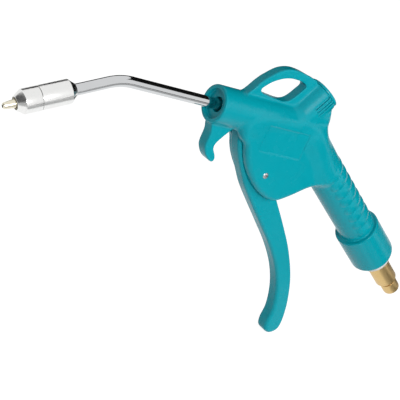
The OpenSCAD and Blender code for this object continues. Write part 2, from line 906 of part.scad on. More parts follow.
module valve_stem() {
    color(steel)
        along_valve()
            turned([
                [0, head_low], [head_r, head_low], [head_r, head_top], [stem_r, head_top],
                [stem_r, poppet_low], [poppet_r, poppet_low], [poppet_r, poppet_mid],
                [stem_r, poppet_mid], [stem_r, stem_top], [0, stem_top]
            ]);
}

module poppet_seal() {
    color(rubber)
        along_valve()
            ring(stem_r + fixed_gap, poppet_r - loose_gap, poppet_mid, poppet_top);
}

// a coil of half turns, each tilted to climb half the pitch
module valve_spring() {
    coils = 6;
    wire_r = spring_wire / 2;
    coil_r = spring_d / 2 - wire_r;
    half_pitch = (spring_len - spring_wire) / (2 * coils);
    tilt = asin(half_pitch / 2 / coil_r);
    color(steel)
        along_valve()
            translate([0, 0, sleeve_top + wire_r])
                for (i = [0 : 2 * coils - 1]) {
                    translate([0, 0, (i + 1 / 2) * half_pitch])
                        rotate([0, i % 2 == 0 ? tilt : -tilt, 0])
                            rotate([0, 0, i % 2 == 0 ? right_angle * 2 : 0])
                                rotate_extrude(angle = 2 * right_angle)
                                    translate([coil_r, 0])
                                        circle(r = wire_r);
                }
}

module spring_retainer() {
    color(steel)
        along_valve()
            ring(stem_r + fixed_gap, retainer_r, retainer_low, retainer_low + retainer_thick);
}

module pivot_pin() {
    pin_edge = pin_r / 5;
    pin_half = body_half - loose_gap;
    color(steel)
        translate([pivot_x, 0, pivot_z])
            rotate([right_angle, 0, 0])
                turned([
                    [0, -pin_half], [pin_r - pin_edge, -pin_half], [pin_r, -pin_half + pin_edge],
                    [pin_r, pin_half - pin_edge], [pin_r - pin_edge, pin_half], [0, pin_half]
                ]);
}

module lever() {
    lever_half = lever_w / 2;
    color(teal) {
        difference() {
            soft_plate(
                outline(lever_shares, [pivot_x, pivot_z], [lever_reach, lever_drop]),
                lever_half, lever_edge
            );
            pin_hole(pin_r + slide_gap);
            in_handle()
                translate([pivot_t - pocket_far, -pocket_half, pocket_floor])
                    cube([pocket_far - pocket_near, 2 * pocket_half, slot_roof]);
        }
        // two noses that press on the stem's head
        for (side = [-1, 1])
            in_handle()
                translate([valve_t, side * (stem_r + room), -pivot_below])
                    rotate([-side * right_angle, 0, 0])
                        cylinder(r = nose_r, h = lever_half - lever_edge / 3 - stem_r - room);
    }
}

module inlet_insert() {
    color(brass)
        along_handle()
            ring(shank_r + slide_gap, inlet_r, collar_end - inlet_len, collar_end);
}

module sealing_washer() {
    color(white)
        along_handle()
            ring(shank_r + room, washer_d / 2, washer_t, washer_t + washer_thick);
}

module air_plug() {
    bore_r = plug_bore_d / 2;
    nose_far = nose_d / 2;
    plug_end = plug_t + plug_len;
    nose_end = plug_end + nose_len;
    color(brass)
        along_handle()
            turned(concat(
                [[bore_r, plug_t - shank_len], [shank_r, plug_t - shank_len], [shank_r, plug_t],
                [plug_r, plug_t], [plug_r, plug_end - plug_chamfer],
                [plug_r - plug_chamfer, plug_end], [neck_r, plug_end], [neck_r, plug_end + neck_len],
                [nose_far, plug_end + neck_len]],
                arc([nose_far - nose_round, nose_end - nose_round], nose_round, 0, right_angle),
                [[bore_r, nose_end]]
            ));
}

body_shell();
barrel_insert();
nozzle_tube();
tube_seal();
nozzle_body();
nozzle_cap();
nozzle_tip();
rear_cap();
rear_cap_seal();
valve_sleeve();
sleeve_seals();
gland_bush();
stem_seal();
valve_stem();
poppet_seal();
valve_spring();
spring_retainer();
pivot_pin();
lever();
inlet_insert();
sealing_washer();
air_plug();
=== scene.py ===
import math

import bpy
import numpy as np
from mathutils import Matrix, Vector


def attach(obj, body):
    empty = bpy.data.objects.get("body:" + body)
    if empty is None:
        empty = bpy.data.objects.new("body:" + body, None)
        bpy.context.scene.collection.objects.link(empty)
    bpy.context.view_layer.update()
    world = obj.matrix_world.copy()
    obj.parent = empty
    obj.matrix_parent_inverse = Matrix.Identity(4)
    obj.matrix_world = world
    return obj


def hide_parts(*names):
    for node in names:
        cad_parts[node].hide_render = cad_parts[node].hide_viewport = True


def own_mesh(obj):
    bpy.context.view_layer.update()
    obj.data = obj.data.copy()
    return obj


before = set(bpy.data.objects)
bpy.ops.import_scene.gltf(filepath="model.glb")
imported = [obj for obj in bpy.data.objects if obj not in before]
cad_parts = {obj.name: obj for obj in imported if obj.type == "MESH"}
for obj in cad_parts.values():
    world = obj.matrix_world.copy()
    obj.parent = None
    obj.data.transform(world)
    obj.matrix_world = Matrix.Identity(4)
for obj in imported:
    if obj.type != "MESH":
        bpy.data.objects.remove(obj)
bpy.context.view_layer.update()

# Sizes are in millimetres, as in the part's source, and are turned into metres when a
# mesh is made. +X runs from the barrel's front face to the rear, +Z is up. T is measured
# along the handle's tilted axis and W square to it, from where it meets the barrel's.
# EDGE and ROUND end the names of roundings, JOIN those of fillets. OVER is how far a cut
# runs past a face, and a GAP stands between two pieces.
MM = 0.001
TINY = 1e-6
FIXED_GAP = 0.02
SLIDE_GAP = 0.05
OVER = 1
HANDLE_ANGLE = math.radians(33.0)
SIN = math.sin(HANDLE_ANGLE)
COS = math.cos(HANDLE_ANGLE)
HANDLE_X = 65.0
VALVE_T = -3.7

# Barrel: its dished front and the bore of its insert.
BARREL_R = 11.0
BARREL_LEN = 60.0
BARREL_RIM = 1.0
DISH_R = 8.5
DISH_DEEP = 2.6
DISH_ROUND = 0.5
DISH_EDGE = 0.7
TUBE_HOLE_R = 4.25
TUBE_HOLE_EDGE = 0.5
INSERT_DEEP = 7.0
INSERT_LEN = 16.0
INSERT_R = 6.5
BORE_EDGE = 0.1

# Bent tube. Its straight part runs through these places on X.
TUBE_R = 3.175
TUBE_BORE_R = 2.275
STRAIGHT_X = (19.0, 2.0, -20.0, -40.0)
BEND_X = 64.0
BEND_ANGLE = math.radians(25.0)
BEND_R = 34.0
BEND_TO_NOZZLE = 26.6
BEND_STEPS = 28
TUBE_GRIP = 13.0

# Nozzle: heights along it start at its rear end.
NOZZLE_R = 6.6
NOZZLE_REAR_R = 3.8
NOZZLE_REAR_CONE = 3.5
NOZZLE_REAR_LEN = 20.0
CAP_SHOULDER = 29.1
NOZZLE_LEN = 33.0
NOZZLE_EDGE = 0.22
PARTING_GAP = 0.15
MOUTH_R = 3.4
MOUTH_LIP = 0.4
FRONT_WALL = 1.3
FRONT_INNER_R = 4.7
SPIGOT_R = 4.9
SPIGOT_LEN = 6.5
PASSAGE_R = 1.5
TIP_SEAT = 21.3
TIP_SEAT_R = 2.23
TIP_SHANK_R = 2.2
TIP_SHOULDER = 26.8
TIP_R = 2.4
TIP_END_R = 1.7
TIP_ROUND = 0.85
TIP_EDGE = 0.12
TIP_LEN = 39.6
TIP_HOLE_R = 0.9
TIP_HOLE_DEEP = 2
FIN_W = 0.8
FIN_COUNT = 6
FIN_GAP = 0.07
FIN_BACK = 0.7
FIN_BEVEL = 0.1

# Valve housing, its cap and the grooves in its side.
HOUSING_T = -4.8
HOUSING_R = 10.5
HOUSING_RIM_R = 10.7
HOUSING_LOW = -12.0
HOUSING_TOP = 22.7
HOUSING_EDGE = 0.7
FLARE_LOW = 7.0
FLARE_POWER = 1.3
FOOT_TOP = 3.0
FOOT_LEN = 15.0
FOOT_IN = 1.7
CAP_R = 10.3
CAP_HEAD = 2.2
CAP_EDGE = 0.45
CAP_SIDE_IN = 0.5
CAP_DOME = 0.75
CAP_DOME_IN = 0.35
CAP_DOME_SHARES = (0.9, 0.7, 0.5, 0.3, 0.12)
CAP_CREST = 0.4
CAP_HOLLOW_R = 6.0
CAP_HOLLOW_TOP = 20.1
CAP_PLUG_R = 7.8
CAP_PLUG_LOW = 18.2
GROOVE_R = 0.72
GROOVE_IN = 1.2
GROOVE_EDGE = 0.2
GROOVE_LEN = 10.0
GROOVE_STEP = math.radians(14.0)
GROOVE_MIDDLE = math.radians(-94.0)
GROOVE_TOP = 21.6

# Sides, loop, hook and web. A HALF is half of a thickness, across the body.
BODY_HALF = 10.8
BODY_EDGE = 3.2
SIDE_START = (20.0, 0.0)
SIDE_SIZE = (75.0, 46.0)
PANEL = (36.0, 68.5, -17.9, -1.8)
PANEL_DEEP = 0.4
PANEL_CORNER = 0.4
LOOP_START = (18.5, 11.0)
LOOP_SIZE = (45.0, 20.0)
LOOP_HALF = 3.4
LOOP_EDGE = 0.75
LOOP_JOIN = 1.6
OPENING_EDGE = 0.7
HOOK_START = (2.2, -11.0)
HOOK_SIZE = (12.0, 22.0)
HOOK_HALF = 4.0
HOOK_EDGE = 1.0
HOOK_JOIN = 1.8
WEB_SIZE = (36.0, 24.0)
WEB_HALF = 8.9
WEB_EDGE = 0.75 * WEB_HALF
WEB_JOIN = 4.0

# Grip, its waist below the housing, the collar at its foot and the raised bands.
GRIP_R = 11.6
GRIP_MIDDLE = 70.0
GRIP_HALF_LEN = 62.0
GRIP_EDGE = 2.0
WAIST_END = 26.0
WAIST_LEN = 18.0
WAIST_IN = 0.8
COLLAR_T = 103.0
COLLAR_END = 134.8
COLLAR_R = 14.5
COLLAR_TOP_EDGE = 0.9
COLLAR_END_EDGE = 3.0
COLLAR_JOIN = 0.9
INLET_R = 10.5
INLET_LEN = 26.0
INLET_EDGE = 0.3
BAND_COUNT = 8
BAND_T = 42.6
BAND_PITCH = 7.9
BAND_HALF = 3.92
BAND_HIGH = 0.8
BAND_CROWN = 1.1
BAND_JOIN = 0.15
BAND_REACH = math.radians(98.0)

# White washer and quick plug.
WASHER_R = 10.6
WASHER_T = 134.82
WASHER_THICK = 4.6
WASHER_HOLE_R = 6.7
WASHER_EDGE = 0.35
PLUG_T = 139.44
PLUG_R = 7.3
PLUG_LEN = 23.8
PLUG_CHAMFER = 1.17
PLUG_BORE_R = 3.5
PLUG_EDGE = 0.25
SHANK_R = 6.4
SHANK_LEN = 18.0
NOSE_R = 5.7
NOSE_LEN = 11.5
NOSE_ROUND = 1.5
NECK_R = 4.5
NECK_LEN = 1.9

# Bores and air channels inside the body.
VALVE_R = 7.0
VALVE_DEEP = 17.0
BORE_TOP = 16.8
CAP_BORE_R = 9.0
GLAND_R = 4.07
CHANNEL_R = 2.2
CHANNEL_X = 20.0
SUPPLY_W = -9.0

# Pivot pin, lever slot and lever, with the pocket for the valve stem's head.
PIVOT_T = 4.2
PIVOT_W = -35.1
PIN_R = 1.82
PIN_IN = 0.1
PIN_ROUND = 0.4
PIN_ROUND_IN = 0.45
PIN_FACE_IN = 0.5
PIN_SIDES = 64
PIN_HOLE_EDGE = 0.25
SLOT_ROOF = 27.8
SLOT_HALF = 5.15
SLOT_EDGE = 0.7
SLOT_BELOW = 0.2
SLOT_FAR_T = 90.0
SLOT_FAR_DOWN = 100.0
LEVER_HALF = 4.95
LEVER_SIZE = (70.0, 105.0)
LEVER_FRONT_EDGE = 2.2
LEVER_REAR_EDGE = 1.3
LEVER_FRONT_COUNT = 15
LEVER_EDGE_BLURS = 10
LEVER_CUT_EDGE = 0.2
POCKET_T = (-8.5, 0.08)
POCKET_HALF = 3.48
POCKET_W = -39.65
BOSS_R = 1.2
BOSS_FROM = 1.8
BOSS_IN = 0.6

# Outlines as shares of the lengths above, read off the object's shape.
SIDE_SHARES = [
    (0.007, -0.12), (0.024, -0.274), (0.093, -0.378), (0.139, -0.513), (0.201, -0.65),
    (0.295, -0.802), (0.413, -0.932), (0.533, -1.003), (0.622, -1.004), (0.742, -0.903),
    (0.882, -0.753), (0.997, -0.675), (1.08, -0.6), (1.1, -0.467), (1.01, -0.304),
    (0.867, -0.109), (0.72, 0.076), (0.533, 0.13), (0.267, 0.109), (0.08, 0.033),
]
WEB_SHARES = [
    (-0.167, -0.292), (0.222, -0.417), (0.778, -0.417), (1.22, -0.375), (1.42, -0.083),
    (1.33, 0.25), (1.12, 0.4), (0.931, 0.436), (0.71, 0.455), (0.51, 0.505),
    (0.36, 0.648), (0.265, 0.785), (0.13, 0.87), (0, 0.75), (-0.167, 0.375),
]
LEVER_SHARES = [
    (-0.366, 0.176), (-0.34, 0.125), (-0.292, 0.068), (-0.23, 0.012), (-0.153, -0.05),
    (-0.06, -0.119), (0.107, -0.218), (0.298, -0.327), (0.5, -0.446), (0.674, -0.574),
    (0.796, -0.708), (0.861, -0.841), (0.861, -0.936), (0.887, -0.986), (0.951, -1.001),
    (1.016, -0.977), (1.036, -0.908), (0.992, -0.77), (0.884, -0.603), (0.71, -0.432),
    (0.515, -0.283), (0.348, -0.165), (0.217, -0.072), (0.109, 0.001), (0.023, 0.054),
    (-0.07, 0.09), (-0.163, 0.093), (-0.229, 0.09), (-0.283, 0.123), (-0.32, 0.17),
    (-0.357, 0.19),
]
LOOP_SHARES = [
    (0.078, -0.2), (0.478, -0.25), (0.878, -0.15), (1.08, 0.35), (0.996, 0.83),
    (0.867, 0.93), (0.669, 1), (0.495, 0.995), (0.343, 0.875), (0.203, 0.625),
    (0.116, 0.42), (0.045, 0.19), (-0.02, -0.05),
]
OPENING_SHARES = [
    (0.221, 0.125), (0.508, 0.06), (0.627, 0.085), (0.708, 0.205), (0.784, 0.425),
    (0.835, 0.62), (0.77, 0.715), (0.661, 0.74), (0.541, 0.73), (0.423, 0.66),
    (0.294, 0.51), (0.205, 0.34), (0.166, 0.215),
]
HOOK_SHARES = [
    (0.05, 0.227), (0.017, -0.027), (0.125, -0.227), (0.15, -0.591), (0.342, -0.791),
    (0.617, -0.927), (0.892, -0.977), (1, -0.891), (0.9, -0.764), (0.69, -0.615),
    (0.7, -0.46), (0.96, -0.235), (1.25, 0), (1.2, 0.227), (0.65, 0.318),
]

# The boxes round the halves of body and lever with y >= 0, the grids' steps in them,
# and how finely and sharply the rest is made.
BODY_BOX = ((-1.2, 0.0, -91.5), (187.0, 15.4, 34.0))
LEVER_BOX = ((18.0, 0.0, -139.5), (124.0, 6.2, -9.0))
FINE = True
BODY_STEP = 0.42 if FINE else 0.8
LEVER_STEP = 0.4 if FINE else 0.7
ROUND_SIDES = 160 if FINE else 64
OUTLINE_STEPS = 8
NEWTON_STEPS = 2
SLOPE_SPAN = 0.75
SLOPE_FLOOR = 0.25
LEAST_ROUND = 0.01
STRAIGHT_ON = -0.97
SHARP_ANGLE = 28.0
TUBE_SHARP_ANGLE = 50.0


# Smooth forms: signed distances on a grid, and the surface where they are zero.

def rounded_max(a, b, radius):
    """The distance to where two forms overlap, with the edge between them rounded."""
    outer = np.hypot(np.maximum(a + radius, 0), np.maximum(b + radius, 0))
    return np.minimum(np.maximum(a + radius, b + radius), 0) + outer - radius


def soft_min(a, b, reach):
    """Two forms joined, with a soft fillet about as wide as reach."""
    share = np.maximum(reach - np.abs(a - b), 0) / reach
    return np.minimum(a, b) - share * share * reach / 4


def cut(form, tool, reach=0.35):
    """A form less a tool, with a slightly broken edge."""
    return -soft_min(-form, tool, reach)


def ring_through(shares, start, size, steps=OUTLINE_STEPS):
    """A smooth closed outline through shares of two lengths."""
    p = np.array(start) + np.array(shares) * np.array(size)
    a, b, c, d = np.roll(p, 1, 0), p, np.roll(p, -1, 0), np.roll(p, -2, 0)
    out = []
    for u in np.arange(steps) / steps:
        out.append((2 * b + (c - a) * u + (2 * a - 5 * b + 4 * c - d) * u * u
                    + (3 * b - a - 3 * c + d) * u ** 3) / 2)
    return np.stack(out, 1).reshape(-1, 2)


def ring_distance(px, pz, ring):
    """Signed distance to a closed outline, and the number of its nearest side."""
    best = np.full(px.shape, np.inf)
    side = np.zeros(px.shape, np.int32)
    within = np.zeros(px.shape, bool)
    for i, (a, b) in enumerate(zip(ring, np.roll(ring, -1, 0))):
        run = b - a
        wx, wz = px - a[0], pz - a[1]
        along = np.clip((wx * run[0] + wz * run[1]) / (run @ run), 0, 1)
        gap = (wx - run[0] * along) ** 2 + (wz - run[1] * along) ** 2
        nearer = gap < best
        best = np.where(nearer, gap, best)
        side = np.where(nearer, i, side)
        if a[1] != b[1]:
            crosses = (a[1] > pz) != (b[1] > pz)
            within ^= crosses & (px < run[0] * (pz - a[1]) / run[1] + a[0])
    return np.where(within, -1.0, 1.0) * np.sqrt(best), side


def surface_of(field, low, step):
    """Corners and four-sided faces of the surface where the field is zero."""
    inside = field < 0
    cells = np.zeros(tuple(n - 1 for n in field.shape), np.int8)
    for i in (0, 1):
        for j in (0, 1):
            for k in (0, 1):
                cells += inside[i:i + cells.shape[0], j:j + cells.shape[1], k:k + cells.shape[2]]
    mixed = (cells > 0) & (cells < 8)
    spots = np.argwhere(mixed)
    number = np.full(cells.shape, -1, np.int64)
    number[mixed] = np.arange(len(spots))
    total = np.zeros((len(spots), 3))
    count = np.zeros(len(spots))
    for axis in range(3):
        unit = np.eye(3, dtype=int)[axis]
        for i in (0, 1):
            for j in (0, 1):
                shift = np.zeros(3, int)
                shift[(axis + 1) % 3], shift[(axis + 2) % 3] = i, j
                start = spots + shift
                f0 = field[tuple(start.T)]
                f1 = field[tuple((start + unit).T)]
                hit = (f0 < 0) != (f1 < 0)
                share = f0[hit] / (f0[hit] - f1[hit])
                total[hit] += start[hit] + share[:, None] * unit
                count[hit] += 1
    corners = np.array(low) + step * total / count[:, None]
    faces = []
    for axis in range(3):
        b, c = (axis + 1) % 3, (axis + 2) % 3
        first = [slice(None)] * 3
        second = [slice(None)] * 3
        first[axis], second[axis] = slice(0, -1), slice(1, None)
        first, second = tuple(first), tuple(second)
        edges = np.argwhere(inside[first] != inside[second])
        keep = (edges[:, b] > 0) & (edges[:, c] > 0)
        keep &= (edges[:, b] < cells.shape[b]) & (edges[:, c] < cells.shape[c])
        edges = edges[keep]
        eb, ec = np.eye(3, dtype=int)[b], np.eye(3, dtype=int)[c]
        around = [edges, edges - eb, edges - eb - ec, edges - ec]
        quad = np.stack([number[tuple(e.T)] for e in around], 1)
        turned = ~inside[tuple(edges.T)]
        quad[turned] = quad[turned][:, ::-1]
        faces.append(quad)
    return corners, np.vstack(faces)


def sampled(field, low, step, points):
    """The field's value at points between the grid's."""
    at = (points - np.array(low)) / step
    at = np.clip(at, 0, np.array(field.shape) - 1.001)
    base = at.astype(int)
    part = at - base
    value = 0
    for i in (0, 1):
        for j in (0, 1):
            for k in (0, 1):
                weight = 1
                for axis, bit in enumerate((i, j, k)):
                    weight = weight * (part[:, axis] if bit else 1 - part[:, axis])
                value = value + weight * field[base[:, 0] + i, base[:, 1] + j, base[:, 2] + k]
    return value


def slope_at(field, low, step, points):
    """The field's slope at points."""
    out = []
    for axis in range(3):
        offset = np.eye(3)[axis] * step * SLOPE_SPAN
        ahead = sampled(field, low, step, points + offset)
        out.append(ahead - sampled(field, low, step, points - offset))
    return np.stack(out, 1) / (2 * SLOPE_SPAN * step)


def mesh_object(name, corners, faces, normals=None):
    """A smooth-shaded object from corners in millimetres."""
    mesh = bpy.data.meshes.new(name)
    mesh.from_pydata((np.asarray(corners) * MM).tolist(), [], [tuple(f) for f in faces])
    mesh.shade_smooth()
    if normals is not None:
        mesh.normals_split_custom_set_from_vertices(normals.tolist())
    ob = bpy.data.objects.new(name, mesh)
    bpy.context.scene.collection.objects.link(ob)
    return ob


def formed_object(name, half_field, low, step):
    """An object from a field on the side y >= 0, mirrored to the other side."""
    field = np.concatenate([half_field[:, :0:-1], half_field], 1).astype(np.float64)
    low = (low[0], -step * (half_field.shape[1] - 1), low[2])
    corners, faces = surface_of(field, low, step)
    for _ in range(NEWTON_STEPS):
        slope = slope_at(field, low, step, corners)
        size = np.maximum((slope ** 2).sum(1), SLOPE_FLOOR)
        move = sampled(field, low, step, corners) / size
        corners = corners - np.clip(move, -step / 2, step / 2)[:, None] * slope
    slope = slope_at(field, low, step, corners)
    length = np.linalg.norm(slope, axis=1)
    normals = slope / np.maximum(length, TINY)[:, None]
    return mesh_object(name, corners, faces, normals)


def grid(low, high, step):
    """Grid coordinates for the half of a box with y >= 0, ready to combine."""
    x = np.arange(low[0], high[0] + step, step)
    y = np.arange(0, high[1] + step, step)
    z = np.arange(low[2], high[2] + step, step)
    return (x.astype(np.float32)[:, None, None], y.astype(np.float32)[None, :, None],
            z.astype(np.float32)[None, None, :])


def handle_place(x, z):
    """T and W of places given by X and Z."""
    return (x - HANDLE_X) * COS - z * SIN, (x - HANDLE_X) * SIN + z * COS


def flat_form(x, z, ring):
    """An outline's distance on the grid's X and Z plane, and its nearest sides."""
    shape = np.broadcast_shapes(x[:, 0].shape, z[:, 0].shape)
    px, pz = np.broadcast_to(x[:, 0], shape), np.broadcast_to(z[:, 0], shape)
    distance, side = ring_distance(px, pz, ring)
    return distance.astype(np.float32)[:, None, :], side[:, None, :]


def plate(x, y, z, ring, half, edge):
    """A plate with an outline, half as thick on each side of y = 0, its edges rounded."""
    distance, _ = flat_form(x, z, ring)
    return rounded_max(distance, np.abs(y) - half, edge)


def rod_between(x, y, z, a, b, radius):
    """A round rod from a to b in the X and Z plane."""
    run = np.array(b) - np.array(a)
    along = np.clip(((x - a[0]) * run[0] + (z - a[1]) * run[1]) / (run @ run), 0, 1)
    off_x, off_z = x - a[0] - run[0] * along, z - a[1] - run[1] * along
    return np.sqrt(off_x ** 2 + y * y + off_z ** 2) - radius


def spot(t, w):
    """X and Z of a place given by T and W."""
    return HANDLE_X + t * COS + w * SIN, -t * SIN + w * COS


def pin_hole(x, y, z, gap):
    """The pivot pin's hole, wider than the pin by a gap all round."""
    px, pz = spot(PIVOT_T, PIVOT_W)
    return np.hypot(x - px, z - pz) - PIN_R - gap + 0 * y


# Fillets of the body: a reach, and hills of more reach as (X and Z), width and height.
SIDE_FILLET = (1.2, ((25.0, -12.5), 7.0, 6.0))
HOUSING_FILLET = (1.6, ((50.0, 10.0), 7.0, 1.6))
GRIP_FILLET = (1.6, ((95.0, -27.0), 8.0, 4.0), (spot(14.0, 11.0), 9.0, 6.0))


def fillet_reach(x, z, fillet):
    """A fillet's reach over the X and Z plane."""
    reach, *hills = fillet
    for (middle_x, middle_z), width, height in hills:
        away = (x - middle_x) ** 2 + (z - middle_z) ** 2
        reach = reach + height * np.exp(-away / (2 * width ** 2))
    return reach


def body_bands(y, t, w):
    """The raised bands on the rear half of the grip, each with round ends."""
    r = np.sqrt(y * y + w * w)
    turn = np.arctan2(y, w) * GRIP_R
    beyond = np.maximum(np.abs(turn) - BAND_REACH * GRIP_R, 0)
    number = np.clip(np.round((t - BAND_T) / BAND_PITCH), 0, BAND_COUNT - 1)
    nearest = BAND_T + BAND_PITCH * number
    away = np.sqrt(beyond ** 2 + (t - nearest) ** 2)
    height = BAND_HIGH * (BAND_CROWN - (away / BAND_HALF) ** 2)
    return np.maximum(away - BAND_HALF, r - GRIP_R - height)


def body_form(x, y, z):
    """The whole moulded body, before anything is cut from it."""
    t, w = handle_place(x, z)
    half_len = BARREL_LEN / 2
    barrel = np.sqrt(y * y + z * z) - BARREL_R
    barrel = rounded_max(barrel, np.abs(x - half_len) - half_len, BARREL_RIM)
    side_ring = ring_through(SIDE_SHARES, SIDE_START, SIDE_SIZE)
    side = plate(x, y, z, side_ring, BODY_HALF, BODY_EDGE)
    form = soft_min(barrel, side, fillet_reach(x, z, SIDE_FILLET))

    flare = np.clip((w - FLARE_LOW) / (HOUSING_TOP - FLARE_LOW), 0, 1) ** FLARE_POWER
    foot = np.clip((FOOT_TOP - w) / FOOT_LEN, 0, 1)
    housing_r = HOUSING_R + flare * (HOUSING_RIM_R - HOUSING_R) - FOOT_IN * foot
    housing = np.sqrt(y * y + (t - HOUSING_T) ** 2) - housing_r
    middle = (HOUSING_TOP + HOUSING_LOW) / 2
    housing = rounded_max(housing, np.abs(w - middle) - (HOUSING_TOP - middle), HOUSING_EDGE)
    form = soft_min(form, housing, fillet_reach(x, z, HOUSING_FILLET))

    grip = np.sqrt(y * y + w * w) - (GRIP_R - WAIST_IN * np.clip((WAIST_END - t) / WAIST_LEN, 0, 1))
    grip = rounded_max(grip, np.abs(t - GRIP_MIDDLE) - GRIP_HALF_LEN, GRIP_EDGE)
    web_ring = np.array([spot(*p) for p in ring_through(WEB_SHARES, (0.0, 0.0), WEB_SIZE)])
    grip = soft_min(grip, plate(x, y, z, web_ring, WEB_HALF, WEB_EDGE), WEB_JOIN)
    form = soft_min(form, grip, fillet_reach(x, z, GRIP_FILLET))

    collar_half = (COLLAR_END - COLLAR_T) / 2
    collar_t = t - COLLAR_T - collar_half
    collar_edge = np.where(collar_t > 0, COLLAR_END_EDGE, COLLAR_TOP_EDGE)
    collar = np.sqrt(y * y + w * w) - COLLAR_R
    collar = rounded_max(collar, np.abs(collar_t) - collar_half, collar_edge)
    form = soft_min(form, collar, COLLAR_JOIN)
    form = soft_min(form, body_bands(y, t, w), BAND_JOIN)

    loop = plate(x, y, z, ring_through(LOOP_SHARES, LOOP_START, LOOP_SIZE), LOOP_HALF, LOOP_EDGE)
    opening, _ = flat_form(x, z, ring_through(OPENING_SHARES, LOOP_START, LOOP_SIZE))
    form = soft_min(form, np.maximum(loop, -opening), LOOP_JOIN)
    form = rounded_max(form, -np.maximum(opening, np.abs(y) - 2 * LOOP_HALF), OPENING_EDGE)
    hook = plate(x, y, z, ring_through(HOOK_SHARES, HOOK_START, HOOK_SIZE), HOOK_HALF, HOOK_EDGE)
    return soft_min(form, hook, HOOK_JOIN)


def body_cuts(form, x, y, z):
    """The body less its recess, holes, lever slot, panels and grooves."""
    t, w = handle_place(x, z)
    from_barrel = np.sqrt(y * y + z * z)
    dish = rounded_max(from_barrel - DISH_R, x - DISH_DEEP, DISH_ROUND)
    form = cut(form, dish, DISH_EDGE)
    tube_hole = np.maximum(from_barrel - TUBE_HOLE_R, x - INSERT_DEEP - OVER)
    form = cut(form, tube_hole, TUBE_HOLE_EDGE)
    insert = np.abs(x - INSERT_DEEP - INSERT_LEN / 2) - INSERT_LEN / 2
    form = cut(form, np.maximum(from_barrel - INSERT_R, insert), BORE_EDGE)

    from_valve = np.sqrt(y * y + (t - VALVE_T) ** 2)
    bore = np.maximum(from_valve - VALVE_R, np.maximum(w - HOUSING_TOP - OVER, -VALVE_DEEP - w))
    bore = np.minimum(bore, np.maximum(from_valve - CAP_BORE_R, BORE_TOP - w))
    gland_w = np.maximum(-SLOT_ROOF - OVER - w, w)
    bore = np.minimum(bore, np.maximum(from_valve - GLAND_R, gland_w))
    form = cut(form, bore, BORE_EDGE)
    channels = [((CHANNEL_X, 0.0), spot(VALVE_T, 0.0)),
                (spot(VALVE_T, SUPPLY_W), spot(COLLAR_END, 0.0))]
    for start, end in channels:
        form = cut(form, rod_between(x, y, z, start, end, CHANNEL_R), BORE_EDGE)
    inlet = np.maximum(np.sqrt(y * y + w * w) - INLET_R, COLLAR_END - INLET_LEN - t)
    form = cut(form, inlet, INLET_EDGE)

    top = BARREL_R + SLOT_BELOW
    meet = (top - SLOT_ROOF * COS) / SIN
    front = LOOP_START[0]
    slot_ring = np.array([
        (front, -top), (front, -SLOT_FAR_DOWN), spot(SLOT_FAR_T, -SLOT_FAR_DOWN),
        spot(SLOT_FAR_T, -SLOT_ROOF), spot(meet, -SLOT_ROOF)])
    slot, _ = flat_form(x, z, slot_ring)
    form = cut(form, np.maximum(slot, np.abs(y) - SLOT_HALF), SLOT_EDGE)

    x_low, x_high, z_low, z_high = PANEL
    across = np.maximum(x_low - x, x - x_high)
    panel = rounded_max(across, np.maximum(z_low - z, z - z_high), PANEL_CORNER)
    form = np.maximum(form, np.minimum(np.maximum(form, -panel), form + PANEL_DEEP))
    angle = np.arctan2(-np.abs(y), t - HOUSING_T)
    groove_floor = HOUSING_RIM_R - GROOVE_IN - np.sqrt(y * y + (t - HOUSING_T) ** 2)
    beyond = np.abs(w - GROOVE_TOP + GROOVE_LEN / 2) - GROOVE_LEN / 2
    for i in (-1, 0, 1):
        turn = (angle - GROOVE_MIDDLE - i * GROOVE_STEP) * HOUSING_RIM_R
        trace = np.sqrt(turn ** 2 + np.maximum(beyond, 0) ** 2)
        form = cut(form, np.maximum(trace - GROOVE_R, groove_floor), GROOVE_EDGE)
    return cut(form, pin_hole(x, y, z, FIXED_GAP), PIN_HOLE_EDGE)


def make_body():
    """The moulded body's skin."""
    x, y, z = grid(*BODY_BOX, BODY_STEP)
    form = body_cuts(body_form(x, y, z), x, y, z)
    return formed_object("body_skin", form, BODY_BOX[0], BODY_STEP)


def make_lever():
    """The lever's skin, rounder along its front than along its rear."""
    x, y, z = grid(*LEVER_BOX, LEVER_STEP)
    t, w = handle_place(x, z)
    ring = ring_through(LEVER_SHARES, spot(PIVOT_T, PIVOT_W), LEVER_SIZE)
    flat, side = flat_form(x, z, ring)
    in_front = side < LEVER_FRONT_COUNT * OUTLINE_STEPS
    edge = np.where(in_front, LEVER_FRONT_EDGE, LEVER_REAR_EDGE).astype(np.float32)
    for _ in range(LEVER_EDGE_BLURS):
        beside = edge[:-2, :, 1:-1] + edge[2:, :, 1:-1]
        edge[1:-1, :, 1:-1] = (beside + edge[1:-1, :, :-2] + edge[1:-1, :, 2:]) / 4
    form = rounded_max(flat, np.abs(y) - LEVER_HALF, edge)
    form = cut(form, pin_hole(x, y, z, SLIDE_GAP), LEVER_CUT_EDGE)
    pocket = np.maximum(np.maximum(POCKET_T[0] - t, t - POCKET_T[1]),
                        np.maximum(POCKET_W - w, np.abs(y) - POCKET_HALF))
    form = cut(form, pocket, LEVER_CUT_EDGE)
    boss = np.hypot(t - VALVE_T, w - PIVOT_W) - BOSS_R
    boss = np.maximum(boss, np.maximum(BOSS_FROM - y, y - LEVER_HALF + BOSS_IN))
    return formed_object("lever_skin", np.minimum(form, boss), LEVER_BOX[0], LEVER_STEP)


# Turned and bent pieces.

def arc(centre, radius, start, end, steps=8):
    """Points of an arc, angles in degrees."""
    angles = np.radians(np.linspace(start, end, steps + 1))
    return [(centre[0] + radius * math.cos(a), centre[1] + radius * math.sin(a)) for a in angles]


